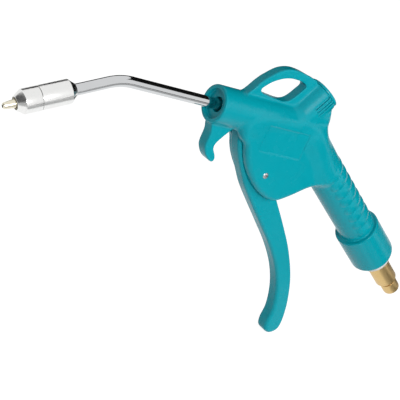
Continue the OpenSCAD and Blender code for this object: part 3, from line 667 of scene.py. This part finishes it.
def broken(profile, size, steps=3):
    """A closed profile with each corner away from the axis broken by a small round."""
    out = []
    count = len(profile)
    for i, p in enumerate(profile):
        a, b, c = (np.array(profile[(i + k) % count], float) for k in (-1, 0, 1))
        back, ahead = a - b, c - b
        lengths = np.linalg.norm(back), np.linalg.norm(ahead)
        cut_in = min(size, 0.4 * lengths[0], 0.4 * lengths[1])
        bend = back @ ahead / (lengths[0] * lengths[1])
        if p[0] < TINY or cut_in < LEAST_ROUND or bend < STRAIGHT_ON:
            out.append(tuple(b))
            continue
        start, end = b + back / lengths[0] * cut_in, b + ahead / lengths[1] * cut_in
        for u in np.linspace(0, 1, steps + 1):
            out.append(tuple((1 - u) ** 2 * start + 2 * u * (1 - u) * b + u * u * end))
    return out


def placed(corners, place):
    """Corners moved by a placing matrix."""
    return np.array(corners) @ np.array(place.to_3x3()).T + np.array(place.translation)


def turned(name, profile, place, sides=ROUND_SIDES):
    """A piece turned from a closed profile of (radius, height), set by a matrix."""
    corners, rows = [], []
    for r, h in profile:
        if r < TINY:
            rows.append([len(corners)] * sides)
            corners.append((0.0, 0.0, h))
            continue
        rows.append(list(range(len(corners), len(corners) + sides)))
        for k in range(sides):
            a = 2 * math.pi * k / sides
            corners.append((r * math.cos(a), r * math.sin(a), h))
    faces = []
    for row, above in zip(rows, rows[1:] + rows[:1]):
        for k in range(sides):
            n = (k + 1) % sides
            ring = [row[k], row[n], above[n], above[k]]
            ring = [v for i, v in enumerate(ring) if v != ring[i - 1]]
            if len(ring) > 2:
                faces.append(ring)
    ob = mesh_object(name, placed(corners, place), faces)
    keep_sharp(ob)
    return ob


def keep_sharp(ob, angle=SHARP_ANGLE):
    """Smooth shading that keeps corners sharper than an angle."""
    ob.data.set_sharp_from_angle(angle=math.radians(angle))


def handle_matrix():
    """Turns Z onto the housing's axis and X onto the handle's."""
    return Matrix.Translation((HANDLE_X, 0, 0)) @ Matrix.Rotation(HANDLE_ANGLE, 4, "Y")


def along_handle():
    """Sets a turned piece's axis along the handle."""
    return handle_matrix() @ Matrix.Rotation(math.pi / 2, 4, "Y")


def along_housing():
    """Sets a turned piece's axis up the valve housing."""
    return handle_matrix() @ Matrix.Translation((HOUSING_T, 0, 0))


def along_nozzle():
    """Sets a turned piece's axis along the tube's bent end."""
    return (Matrix.Translation((-BEND_X, 0, 0))
            @ Matrix.Rotation(-math.pi / 2 - BEND_ANGLE, 4, "Y")
            @ Matrix.Translation((0, 0, BEND_TO_NOZZLE)))


def make_tube():
    """The bent tube, open at both ends, swept along its centre line."""
    run = BEND_R * math.tan(BEND_ANGLE / 2)
    line = [(x, 0.0) for x in STRAIGHT_X]
    for i in range(BEND_STEPS + 1):
        a = BEND_ANGLE * i / BEND_STEPS
        line.append((-BEND_X + run - BEND_R * math.sin(a), -BEND_R + BEND_R * math.cos(a)))
    down = np.array((-math.cos(BEND_ANGLE), -math.sin(BEND_ANGLE)))
    rest = BEND_TO_NOZZLE + TUBE_GRIP - run
    for share in (0.5, 1.0):
        line.append(tuple(np.array((-BEND_X, 0.0)) + down * (run + share * rest)))
    line = np.array(line)
    ahead = np.gradient(line, axis=0)
    ahead /= np.linalg.norm(ahead, axis=1)[:, None]
    corners, faces = [], []
    sides = ROUND_SIDES // 2
    for radius in (TUBE_R, TUBE_BORE_R):
        for (px, pz), (ax, az) in zip(line, ahead):
            for k in range(sides):
                a = 2 * math.pi * k / sides
                lift = radius * math.cos(a)
                corners.append((px - az * lift, radius * math.sin(a), pz + ax * lift))
    count = len(line)
    for shell in (0, 1):
        base = shell * count * sides
        for i in range(count - 1):
            for k in range(sides):
                n = (k + 1) % sides
                face = [base + i * sides + k, base + i * sides + n,
                        base + (i + 1) * sides + n, base + (i + 1) * sides + k]
                faces.append(face if shell else face[::-1])
    for i in (0, count - 1):
        for k in range(sides):
            n = (k + 1) % sides
            face = [i * sides + k, i * sides + n,
                    (count + i) * sides + n, (count + i) * sides + k]
            faces.append(face if i == 0 else face[::-1])
    ob = mesh_object("tube", corners, faces)
    keep_sharp(ob, TUBE_SHARP_ANGLE)
    return ob


def make_nozzle():
    """The nozzle's rear piece, its front cap, the tip and its fins."""
    place = along_nozzle()
    spigot_end = NOZZLE_REAR_LEN + SPIGOT_LEN
    rear = turned("nozzle_rear", broken([
        (TUBE_R + FIXED_GAP, 0), (NOZZLE_REAR_R, 0),
        (NOZZLE_R, NOZZLE_REAR_CONE), (NOZZLE_R, NOZZLE_REAR_LEN),
        (SPIGOT_R, NOZZLE_REAR_LEN), (SPIGOT_R, spigot_end),
        (TIP_SEAT_R, spigot_end), (TIP_SEAT_R, TIP_SEAT),
        (PASSAGE_R, TIP_SEAT), (PASSAGE_R, TUBE_GRIP + FIXED_GAP),
        (TUBE_R + FIXED_GAP, TUBE_GRIP + FIXED_GAP),
    ], NOZZLE_EDGE), place)
    front_start = NOZZLE_REAR_LEN + PARTING_GAP
    front = turned("nozzle_front", broken([
        (SPIGOT_R + SLIDE_GAP, front_start), (NOZZLE_R, front_start),
        (NOZZLE_R, CAP_SHOULDER), (MOUTH_R + MOUTH_LIP, NOZZLE_LEN),
        (MOUTH_R, NOZZLE_LEN), (MOUTH_R, NOZZLE_LEN - FRONT_WALL),
        (FRONT_INNER_R, CAP_SHOULDER - FRONT_WALL), (FRONT_INNER_R, TIP_SHOULDER),
        (SPIGOT_R + SLIDE_GAP, TIP_SHOULDER),
    ], NOZZLE_EDGE), place)
    tip = turned("nozzle_pin", broken([
        (TIP_HOLE_R, TIP_SEAT), (TIP_SHANK_R, TIP_SEAT), (TIP_SHANK_R, TIP_SHOULDER),
        (TIP_R, TIP_SHOULDER), (TIP_R, NOZZLE_LEN),
        *arc((TIP_END_R - TIP_ROUND, TIP_LEN - TIP_ROUND), TIP_ROUND, 12, 90, 6),
        (TIP_HOLE_R, TIP_LEN), (TIP_HOLE_R, TIP_LEN - TIP_HOLE_DEEP),
    ], TIP_EDGE), place)
    return rear, front, tip, make_fins(place)


def make_fins(place):
    """Thin radial fins between the tip and the nozzle's mouth."""
    corners, faces = [], []
    inner, outer = TIP_SHANK_R, MOUTH_R - FIN_GAP
    for i in range(FIN_COUNT):
        a = 2 * math.pi * i / FIN_COUNT
        along = np.array((math.cos(a), math.sin(a)))
        across = np.array((-math.sin(a), math.cos(a)))
        base = len(corners)
        for h in (TIP_SHOULDER, NOZZLE_LEN - FIN_BACK):
            for r, side in ((inner, -1), (outer, -1), (outer, 1), (inner, 1)):
                x, y = along * r + across * side * FIN_W / 2
                corners.append((x, y, h))
        for face in ((3, 2, 1, 0), (4, 5, 6, 7), (0, 1, 5, 4), (1, 2, 6, 5), (2, 3, 7, 6),
                     (3, 0, 4, 7)):
            faces.append([base + v for v in face])
    ob = mesh_object("nozzle_fins", placed(corners, place), faces)
    keep_sharp(ob)
    bevel = ob.modifiers.new("edges", "BEVEL")
    bevel.width = FIN_BEVEL * MM
    bevel.segments = 2
    return ob


def make_inlet():
    """The brass plug and the white washer above it."""
    place = along_handle()
    end = PLUG_T + PLUG_LEN
    neck_end = end + NECK_LEN
    nose_end = end + NOSE_LEN
    plug = turned("plug", broken([
        (PLUG_BORE_R, PLUG_T - SHANK_LEN), (SHANK_R, PLUG_T - SHANK_LEN), (SHANK_R, PLUG_T),
        (PLUG_R, PLUG_T), (PLUG_R, end - PLUG_CHAMFER), (PLUG_R - PLUG_CHAMFER, end),
        (NECK_R, end), (NECK_R, neck_end), (NOSE_R, neck_end),
        *arc((NOSE_R - NOSE_ROUND, nose_end - NOSE_ROUND), NOSE_ROUND, 0, 90, 8),
        (PLUG_BORE_R, nose_end),
    ], PLUG_EDGE), place)
    washer_end = WASHER_T + WASHER_THICK
    washer = turned("washer", broken([
        (WASHER_HOLE_R, WASHER_T), (WASHER_R, WASHER_T),
        (WASHER_R, washer_end), (WASHER_HOLE_R, washer_end),
    ], WASHER_EDGE), place)
    return plug, washer


def make_rear_cap():
    """The screwed cap over the valve, slightly domed."""
    top = HOUSING_TOP + CAP_HEAD
    dome = [(CAP_R * s, top + CAP_DOME * (1 - s * s) - CAP_DOME_IN) for s in CAP_DOME_SHARES]
    return turned("rear_cap_skin", broken([
        (0, CAP_HOLLOW_TOP), (CAP_HOLLOW_R, CAP_HOLLOW_TOP), (CAP_HOLLOW_R, CAP_PLUG_LOW),
        (CAP_PLUG_R, CAP_PLUG_LOW), (CAP_PLUG_R, HOUSING_TOP + FIXED_GAP),
        (CAP_R, HOUSING_TOP + FIXED_GAP), (CAP_R, top - CAP_SIDE_IN),
        *dome, (0, top + CAP_CREST),
    ], CAP_EDGE), along_housing())


def make_pin():
    """The pivot pin with slightly rounded ends."""
    px, pz = spot(PIVOT_T, PIVOT_W)
    place = Matrix.Translation((px, 0, pz)) @ Matrix.Rotation(math.pi / 2, 4, "X")
    end = BODY_HALF - PIN_IN
    round_r = PIN_R - PIN_ROUND
    return turned("pin", [
        (0, -end), (PIN_R - PIN_FACE_IN, -end),
        *arc((round_r, -end + PIN_ROUND_IN), PIN_ROUND, -80, 0, 5),
        *arc((round_r, end - PIN_ROUND_IN), PIN_ROUND, 0, 80, 5),
        (PIN_R - PIN_FACE_IN, end), (0, end),
    ], place, PIN_SIDES)


# Materials.

# Scale and detail of each noise, and strength and height in metres of the grain.
PLASTIC_CLOUDS = (35.0, 5.0)
PLASTIC_WEAR = (140.0, 6.0)
PLASTIC_GRAIN = (2600.0, 3.0)
PLASTIC_BUMP = (0.05, 0.00008)
METAL_CLOUDS = (90.0, 5.0)
METAL_HEIGHT = 0.00004
RING_NOISE = (60.0, 3.0)
RING_STRETCH = 0.5
MATT = 0.9


def node_tree(name):
    """A new material, its node tree and its shader."""
    mat = bpy.data.materials.new(name)
    mat.use_nodes = True
    shader = mat.node_tree.nodes["Principled BSDF"]
    return mat, mat.node_tree, shader


def add(tree, kind, **inputs):
    """A node with some of its sockets and settings filled in."""
    node = tree.nodes.new(kind)
    for key, value in inputs.items():
        if key in node.inputs:
            node.inputs[key].default_value = value
        else:
            setattr(node, key, value)
    return node


def noise(tree, scale, detail=4.0):
    """Noise in object space."""
    place = add(tree, "ShaderNodeTexCoord")
    node = add(tree, "ShaderNodeTexNoise", Scale=scale, Detail=detail)
    tree.links.new(place.outputs["Object"], node.inputs["Vector"])
    return node.outputs["Fac"]


def ranged(tree, value, low, high, start=0.3, end=0.7):
    """A value carried from one range to another."""
    node = add(tree, "ShaderNodeMapRange")
    for key, number in (("From Min", start), ("From Max", end), ("To Min", low), ("To Max", high)):
        node.inputs[key].default_value = number
    tree.links.new(value, node.inputs["Value"])
    return node.outputs["Result"]


def tinted(tree, value, first, second):
    """A colour between two, by a value."""
    node = add(tree, "ShaderNodeMix", data_type="RGBA")
    node.inputs["A"].default_value = (*first, 1)
    node.inputs["B"].default_value = (*second, 1)
    tree.links.new(value, node.inputs["Factor"])
    return node.outputs["Result"]


def bumped(tree, value, strength, distance):
    """Normals for small heights that follow a value."""
    node = add(tree, "ShaderNodeBump", Strength=strength, Distance=distance)
    tree.links.new(value, node.inputs["Height"])
    return node.outputs["Normal"]


def finish(tree, shader, colour, roughness, normal):
    """Links a colour, a roughness and normals to a shader."""
    tree.links.new(colour, shader.inputs["Base Color"])
    tree.links.new(roughness, shader.inputs["Roughness"])
    tree.links.new(normal, shader.inputs["Normal"])


def plastic(name, colour, darker, roughness=0.24, shine=0.17):
    """Satin moulded plastic with a fine grain and slight wear."""
    mat, tree, shader = node_tree(name)
    finish(tree, shader, tinted(tree, noise(tree, *PLASTIC_CLOUDS), colour, darker),
           ranged(tree, noise(tree, *PLASTIC_WEAR), roughness - 0.05, roughness + 0.07),
           bumped(tree, noise(tree, *PLASTIC_GRAIN), *PLASTIC_BUMP))
    shader.inputs["Specular IOR Level"].default_value = shine
    return mat


def metal(name, colour, darker, roughness, spread, scale, bump):
    """Worked metal: fine grain in the roughness and height, and a clouded colour."""
    mat, tree, shader = node_tree(name)
    grain = noise(tree, scale)
    finish(tree, shader, tinted(tree, noise(tree, *METAL_CLOUDS), colour, darker),
           ranged(tree, grain, roughness - spread, roughness + spread),
           bumped(tree, grain, bump, METAL_HEIGHT))
    shader.inputs["Metallic"].default_value = 1.0
    return mat


def turned_metal(name, colour, darker, roughness, place, rings, bump):
    """Metal with fine rings round the axis of a placing matrix."""
    mat, tree, shader = node_tree(name)
    coords = add(tree, "ShaderNodeTexCoord")
    mapping = add(tree, "ShaderNodeMapping")
    mapping.inputs["Rotation"].default_value = tuple(place.to_3x3().inverted().to_euler())
    tree.links.new(coords.outputs["Object"], mapping.inputs["Vector"])
    flat = add(tree, "ShaderNodeMapping", Scale=(RING_STRETCH, RING_STRETCH, rings))
    tree.links.new(mapping.outputs["Vector"], flat.inputs["Vector"])
    lines = add(tree, "ShaderNodeTexNoise", Scale=RING_NOISE[0], Detail=RING_NOISE[1])
    tree.links.new(flat.outputs["Vector"], lines.inputs["Vector"])
    value = lines.outputs["Fac"]
    finish(tree, shader, tinted(tree, value, colour, darker),
           ranged(tree, value, roughness - 0.06, roughness + 0.08),
           bumped(tree, value, bump, METAL_HEIGHT))
    shader.inputs["Metallic"].default_value = 1.0
    return mat


def dress(ob, body, slot, mat, *nodes):
    """Gives a piece its material, attaches it to the body it rides on and hides the CAD parts it
    stands for.
    """
    ob.data.materials.clear()
    ob.data.materials.append(mat)
    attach(ob, body)
    if nodes:
        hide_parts(*nodes)


teal = plastic("teal", (0.001, 0.385, 0.465), (0.001, 0.36, 0.437))
rubber = plastic("rubber", (0.012, 0.012, 0.012), (0.02, 0.02, 0.02), 0.6)
white = plastic("white_nylon", (0.86, 0.85, 0.82), (0.8, 0.79, 0.76), 0.45)
chrome = metal("chrome", (0.63, 0.64, 0.65), (0.58, 0.59, 0.60), 0.05, 0.02, 300.0, 0.02)
inner_brass = metal("inner_brass", (0.76, 0.58, 0.3), (0.62, 0.45, 0.22), 0.35, 0.08, 200.0, 0.1)
steel = metal("steel", (0.78, 0.79, 0.8), (0.62, 0.63, 0.65), 0.25, 0.08, 400.0, 0.1)
aluminium = turned_metal(
    "aluminium", (0.86, 0.86, 0.85), (0.76, 0.76, 0.75), 0.2, along_nozzle(), 60.0, 0.12)
tip_brass = turned_metal(
    "tip_brass", (0.84, 0.80, 0.68), (0.70, 0.64, 0.48), 0.22, along_nozzle(), 60.0, 0.2)
plug_brass = turned_metal(
    "plug_brass", (0.74, 0.54, 0.25), (0.62, 0.43, 0.18), 0.4, along_handle(), 50.0, 0.25)

dress(make_body(), "body", "teal_plastic", teal, "body_shell")
dress(make_lever(), "lever", "lever_plastic", teal, "lever")
dress(make_tube(), "body", "chrome", chrome, "nozzle_tube")
nozzle_rear, nozzle_front, nozzle_pin, nozzle_fins = make_nozzle()
dress(nozzle_rear, "body", "aluminium", aluminium, "nozzle_body")
dress(nozzle_front, "body", "aluminium", aluminium, "nozzle_cap")
dress(nozzle_pin, "body", "brass", tip_brass, "nozzle_tip")
dress(nozzle_fins, "body", "brass", tip_brass)
plug, washer = make_inlet()
dress(plug, "body", "plug_brass", plug_brass, "air_plug")
dress(washer, "body", "white_plastic", white, "sealing_washer")
dress(make_rear_cap(), "body", "cap_plastic", teal, "rear_cap")
dress(make_pin(), "body", "steel", steel, "pivot_pin")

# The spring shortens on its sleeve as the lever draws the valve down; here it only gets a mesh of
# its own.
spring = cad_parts["valve_spring"]
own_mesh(spring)

# The pieces inside keep the CAD's forms.
CAD_LOOKS = {
    inner_brass: ("barrel_insert", "valve_sleeve", "gland_bush", "inlet_insert"),
    rubber: ("tube_seal", "rear_cap_seal", "sleeve_seals", "stem_seal", "poppet_seal"),
    steel: ("valve_stem", "valve_spring", "spring_retainer"),
}
for look, cad_names in CAD_LOOKS.items():
    for cad_name in cad_names:
        for cad_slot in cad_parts[cad_name].material_slots:
            cad_slot.material = look


# The studio: a pale floor, soft lights and a bright background.

FLOOR_Z = -0.1376
FLOOR_REACH = 8.0
FLOOR_GLOW = 0.92
FLOOR_SHADE = 0.35
WORLD_LIGHT = 0.3
OBJECT_CENTRE = (0.05, 0.0, -0.04)
DARK_SHADE = 0.016
GREY_SHADE = 0.16
PALE_SHADE = 0.8
CARD_LIFT = 0.001
# Name, shade, direction and distance from the object, and corners as right and up.
CARDS = [
    ("side_card", DARK_SHADE, (0.75, 0.2, 0.63), 1.05,
     [(1.0, -0.68), (0.5, 0.35), (-0.75, 0.8), (-1.0, -0.78)]),
    ("back_card", DARK_SHADE, (0.16, 0.86, 0.45), 1.2,
     [(0.35, -0.22), (0.35, 0.4), (-0.35, 0.4), (-0.35, -0.22)]),
    ("top_card", DARK_SHADE, (0.62, 0.70, 0.35), 1.3,
     [(0.45, -0.25), (0.45, 0.5), (-0.45, 0.5), (-0.45, -0.25)]),
    ("camera_card", GREY_SHADE, (-0.636, -0.722, 0.272), 1.2,
     [(0.13, -0.35), (0.13, 0.3), (-0.45, 0.3), (-0.45, -0.35)]),
    ("left_card", GREY_SHADE, (-1.0, 0.0, 0.0), 0.85,
     [(0.75, -0.09), (0.75, 0.45), (-0.75, 0.45), (-0.75, -0.09)]),
]
# Name, shade, and corners as X and Y.
FLOOR_CARDS = [
    ("pale_card", PALE_SHADE,
     [(-0.9, -0.14), (0.15, -0.115), (0.32, 0.042), (0.32, -0.9), (-0.9, -0.9)]),
    ("dark_card", DARK_SHADE,
     [(0.32, 0.042), (0.66, 0.36), (1.3, 0.36), (1.3, -0.9), (0.32, -0.9)]),
]
CAMERA_PLACE = (-0.4266, -0.5066, 0.1330)
CAMERA_RIGHT = (0.7585, -0.5214, 0.3908)
CAMERA_UP = (-0.1405, 0.4548, 0.8794)
CAMERA_BACK = (-0.6363, -0.7220, 0.2717)
CAMERA_LENS = 109.755
CAMERA_SENSOR = 36.0
CAMERA_CLIP = (0.05, 20.0)
# Name, direction and distance from the object, size, watts, roll in degrees, and whether
# the metals mirror the lamp.
LAMPS = [
    ("key", (0.5, -0.75, 0.45), 1.4, (1.0, 0.6), 6.0, 0.0, False),
    ("front", (-0.26, -0.91, 0.31), 1.3, (0.6, 0.2), 7.5, -33.0, True),
    ("fill", (0.15, 0.95, 0.2), 1.5, (0.8, 0.6), 5.0, 0.0, False),
]


def seen_by(tree):
    """One where a camera, mirror or glass ray looks, and nought on the light's own paths."""
    path = add(tree, "ShaderNodeLightPath")
    value = path.outputs["Is Camera Ray"]
    for kind in ("Is Glossy Ray", "Is Transmission Ray"):
        total = add(tree, "ShaderNodeMath", operation="MAXIMUM")
        tree.links.new(value, total.inputs[0])
        tree.links.new(path.outputs[kind], total.inputs[1])
        value = total.outputs[0]
    return value


def staged(name, corners, mat):
    """A flat sheet of the studio, apart from the object."""
    mesh = bpy.data.meshes.new(name)
    mesh.from_pydata([tuple(c) for c in corners], [], [tuple(range(len(corners)))])
    mesh.materials.append(mat)
    ob = bpy.data.objects.new(name, mesh)
    bpy.context.scene.collection.objects.link(ob)
    return ob


def matt(shader):
    """Takes the shine off a shader."""
    shader.inputs["Roughness"].default_value = MATT
    shader.inputs["Specular IOR Level"].default_value = 0.0


def make_floor():
    """A pale floor that reads as white and still takes the object's shadow."""
    mat, tree, shader = node_tree("pale_floor")
    seen = seen_by(tree)
    pale = tinted(tree, noise(tree, 3.0, 3.0), (0.93, 0.93, 0.93), (0.9, 0.9, 0.9))
    base = add(tree, "ShaderNodeMix", data_type="RGBA")
    tree.links.new(seen, base.inputs["Factor"])
    tree.links.new(pale, base.inputs["A"])
    base.inputs["B"].default_value = (FLOOR_SHADE, FLOOR_SHADE, FLOOR_SHADE, 1)
    tree.links.new(base.outputs["Result"], shader.inputs["Base Color"])
    matt(shader)
    shader.inputs["Emission Color"].default_value = (1, 1, 1, 1)
    glow = add(tree, "ShaderNodeMath", operation="MULTIPLY")
    glow.inputs[1].default_value = FLOOR_GLOW
    tree.links.new(seen, glow.inputs[0])
    tree.links.new(glow.outputs[0], shader.inputs["Emission Strength"])
    signs = ((-1, -1), (1, -1), (1, 1), (-1, 1))
    staged("floor", [(i * FLOOR_REACH, j * FLOOR_REACH, FLOOR_Z) for i, j in signs], mat)


def make_card(name, shade, corners):
    """A matt grey card that cameras don't see, for the bands that metal mirrors."""
    mat, tree, shader = node_tree("card_paint")
    tree.links.new(tinted(tree, noise(tree, 5.0), [1.05 * shade] * 3, [0.95 * shade] * 3),
                   shader.inputs["Base Color"])
    matt(shader)
    card = staged(name, corners, mat)
    card.visible_camera = False


def make_cards():
    """The cards round the object and those on the floor."""
    for name, shade, direction, distance, corners in CARDS:
        towards = Vector(direction).normalized()
        right = Vector((0, 0, 1)).cross(towards).normalized()
        up = towards.cross(right)
        middle = Vector(OBJECT_CENTRE) + towards * distance
        make_card(name, shade, [middle + right * x + up * z for x, z in corners])
    for name, shade, corners in FLOOR_CARDS:
        make_card(name, shade, [(x, y, FLOOR_Z + CARD_LIFT) for x, y in corners])


def area_light(name, direction, distance, size, watts, roll, mirrored):
    """A soft box that looks at the object from a direction."""
    data = bpy.data.lights.new(name, "AREA")
    data.shape = "RECTANGLE"
    data.size, data.size_y = size
    data.energy = watts
    ob = bpy.data.objects.new(name, data)
    ob.visible_glossy = mirrored
    towards = Vector(direction).normalized()
    ob.location = Vector(OBJECT_CENTRE) + towards * distance
    ob.rotation_mode = "QUATERNION"
    turn = Matrix.Rotation(math.radians(roll), 3, "Z").to_quaternion()
    ob.rotation_quaternion = (-towards).to_track_quat("-Z", "Y") @ turn
    bpy.context.scene.collection.objects.link(ob)


def make_world():
    """White to the camera and to mirrors, and a lower even light for the rest."""
    world = bpy.data.worlds.new("studio")
    bpy.context.scene.world = world
    world.use_nodes = True
    tree = world.node_tree
    tree.nodes.clear()
    out = add(tree, "ShaderNodeOutputWorld")
    seen = add(tree, "ShaderNodeBackground", Color=(1, 1, 1, 1), Strength=1.0)
    light = add(tree, "ShaderNodeBackground", Color=(1, 1, 1, 1), Strength=WORLD_LIGHT)
    mix = add(tree, "ShaderNodeMixShader")
    tree.links.new(seen_by(tree), mix.inputs["Fac"])
    tree.links.new(light.outputs[0], mix.inputs[1])
    tree.links.new(seen.outputs[0], mix.inputs[2])
    tree.links.new(mix.outputs[0], out.inputs["Surface"])


def make_camera():
    """The camera of the photograph."""
    data = bpy.data.cameras.new("camera")
    data.lens = CAMERA_LENS
    data.sensor_width = CAMERA_SENSOR
    data.clip_start, data.clip_end = CAMERA_CLIP
    ob = bpy.data.objects.new("camera", data)
    turn = Matrix((CAMERA_RIGHT, CAMERA_UP, CAMERA_BACK)).transposed().to_quaternion()
    ob.matrix_world = Matrix.Translation(CAMERA_PLACE) @ turn.to_matrix().to_4x4()
    bpy.context.scene.collection.objects.link(ob)
    bpy.context.scene.camera = ob


make_floor()
make_cards()
make_world()
make_camera()
for lamp in LAMPS:
    area_light(*lamp)
bpy.context.scene.view_settings.view_transform = "Standard"
